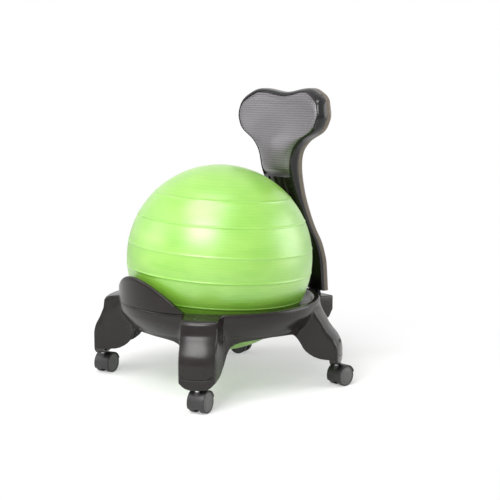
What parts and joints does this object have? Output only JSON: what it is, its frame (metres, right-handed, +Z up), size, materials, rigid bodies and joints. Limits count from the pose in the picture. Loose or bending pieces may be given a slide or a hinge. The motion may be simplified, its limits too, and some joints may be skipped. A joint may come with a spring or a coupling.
{
  "type": "balance ball chair",
  "caption": "Chair with an inflated exercise ball as the seat, held in a moulded ring base on swivel casters, with a padded lumbar backrest on a curved post.",
  "frame": {"origin": "on the floor, under the middle of the outline of the whole chair", "axes": "+Z up; the sitter faces -Y, so the backrest is towards +Y; +X is the sitter's left"},
  "size_m": [0.576, 0.641, 0.797],
  "materials": {
    "base_plastic": "satin moulded charcoal plastic",
    "gloss_shell": "glossy charcoal moulding",
    "rear_shell": "warm grey satin moulding",
    "pad_fabric": "fine ribbed mesh fabric",
    "ball_vinyl": "soft satin lime vinyl",
    "plug_vinyl": "white vinyl",
    "caster_plastic": "black nylon",
    "cap_plastic": "grey plastic discs",
    "sleeve_plastic": "black plastic",
    "bright_steel": "bright zinc",
    "fastener_steel": "black oxide"
  },
  "bodies": {
    "base": {"front_base": "base_plastic", "rear_base": "base_plastic", "ball_stop": "base_plastic", "join_bolt_right_1": "fastener_steel", "join_bolt_right_2": "fastener_steel", "join_bolt_left_1": "fastener_steel", "join_bolt_left_2": "fastener_steel", "stop_screw_right": "fastener_steel", "stop_screw_left": "fastener_steel", "socket_bolt_right": "fastener_steel", "socket_bolt_left": "fastener_steel", "backrest_front_shell": "gloss_shell", "backrest_rear_shell": "rear_shell", "backrest_pad": "pad_fabric", "post_bar": "fastener_steel", "post_bolt_1": "fastener_steel", "post_bolt_2": "fastener_steel", "shell_screw_1": "fastener_steel", "shell_screw_2": "fastener_steel", "shell_screw_3": "fastener_steel", "shell_screw_4": "fastener_steel", "front_right_sleeve": "sleeve_plastic", "front_left_sleeve": "sleeve_plastic", "rear_right_sleeve": "sleeve_plastic", "rear_left_sleeve": "sleeve_plastic"},
    "ball": {"ball": "ball_vinyl", "ball_plug": "plug_vinyl"},
    "front_right_caster": {"front_right_caster_hood": "caster_plastic", "front_right_caster_stem": "bright_steel", "front_right_caster_axle": "bright_steel"},
    "front_right_wheel_a_body": {"front_right_wheel_a": "caster_plastic", "front_right_wheel_cap_a": "cap_plastic"},
    "front_right_wheel_b_body": {"front_right_wheel_b": "caster_plastic", "front_right_wheel_cap_b": "cap_plastic"},
    "front_left_caster": {"front_left_caster_hood": "caster_plastic", "front_left_caster_stem": "bright_steel", "front_left_caster_axle": "bright_steel"},
    "front_left_wheel_a_body": {"front_left_wheel_a": "caster_plastic", "front_left_wheel_cap_a": "cap_plastic"},
    "front_left_wheel_b_body": {"front_left_wheel_b": "caster_plastic", "front_left_wheel_cap_b": "cap_plastic"},
    "rear_right_caster": {"rear_right_caster_hood": "caster_plastic", "rear_right_caster_stem": "bright_steel", "rear_right_caster_axle": "bright_steel"},
    "rear_right_wheel_a_body": {"rear_right_wheel_a": "caster_plastic", "rear_right_wheel_cap_a": "cap_plastic"},
    "rear_right_wheel_b_body": {"rear_right_wheel_b": "caster_plastic", "rear_right_wheel_cap_b": "cap_plastic"},
    "rear_left_caster": {"rear_left_caster_hood": "caster_plastic", "rear_left_caster_stem": "bright_steel", "rear_left_caster_axle": "bright_steel"},
    "rear_left_wheel_a_body": {"rear_left_wheel_a": "caster_plastic", "rear_left_wheel_cap_a": "cap_plastic"},
    "rear_left_wheel_b_body": {"rear_left_wheel_b": "caster_plastic", "rear_left_wheel_cap_b": "cap_plastic"}
  },
  "joints": [
    {"name": "front_right_swivel", "type": "hinge", "parent": "base", "child": "front_right_caster", "pos_m": [-0.247, -0.2765, 0.06], "axis": [0, 0, 1], "continuous": true},
    {"name": "front_right_wheel_a_spin", "type": "hinge", "parent": "front_right_caster", "child": "front_right_wheel_a_body", "pos_m": [-0.25472, -0.26135, 0.0275], "axis": [0.891, 0.454, 0], "continuous": true},
    {"name": "front_right_wheel_b_spin", "type": "hinge", "parent": "front_right_caster", "child": "front_right_wheel_b_body", "pos_m": [-0.25472, -0.26135, 0.0275], "axis": [0.891, 0.454, 0], "continuous": true},
    {"name": "front_left_swivel", "type": "hinge", "parent": "base", "child": "front_left_caster", "pos_m": [0.247, -0.2765, 0.06], "axis": [0, 0, 1], "continuous": true},
    {"name": "front_left_wheel_a_spin", "type": "hinge", "parent": "front_left_caster", "child": "front_left_wheel_a_body", "pos_m": [0.23876, -0.26163, 0.0275], "axis": [0.8746, 0.4848, 0], "continuous": true},
    {"name": "front_left_wheel_b_spin", "type": "hinge", "parent": "front_left_caster", "child": "front_left_wheel_b_body", "pos_m": [0.23876, -0.26163, 0.0275], "axis": [0.8746, 0.4848, 0], "continuous": true},
    {"name": "rear_right_swivel", "type": "hinge", "parent": "base", "child": "rear_right_caster", "pos_m": [-0.24, 0.1725, 0.06], "axis": [0, 0, 1], "continuous": true},
    {"name": "rear_right_wheel_a_spin", "type": "hinge", "parent": "rear_right_caster", "child": "rear_right_wheel_a_body", "pos_m": [-0.22472, 0.17995, 0.0275], "axis": [0.4384, -0.8988, 0], "continuous": true},
    {"name": "rear_right_wheel_b_spin", "type": "hinge", "parent": "rear_right_caster", "child": "rear_right_wheel_b_body", "pos_m": [-0.22472, 0.17995, 0.0275], "axis": [0.4384, -0.8988, 0], "continuous": true},
    {"name": "rear_left_swivel", "type": "hinge", "parent": "base", "child": "rear_left_caster", "pos_m": [0.24, 0.1725, 0.06], "axis": [0, 0, 1], "continuous": true},
    {"name": "rear_left_wheel_a_spin", "type": "hinge", "parent": "rear_left_caster", "child": "rear_left_wheel_a_body", "pos_m": [0.23763, 0.18933, 0.0275], "axis": [0.9903, 0.1392, 0], "continuous": true},
    {"name": "rear_left_wheel_b_spin", "type": "hinge", "parent": "rear_left_caster", "child": "rear_left_wheel_b_body", "pos_m": [0.23763, 0.18933, 0.0275], "axis": [0.9903, 0.1392, 0], "continuous": true},
    {"name": "ball_lift_off", "type": "slide", "parent": "base", "child": "ball", "axis": [0, -0.3907, 0.9205], "range_m": [0, 0.5]}
  ]
}
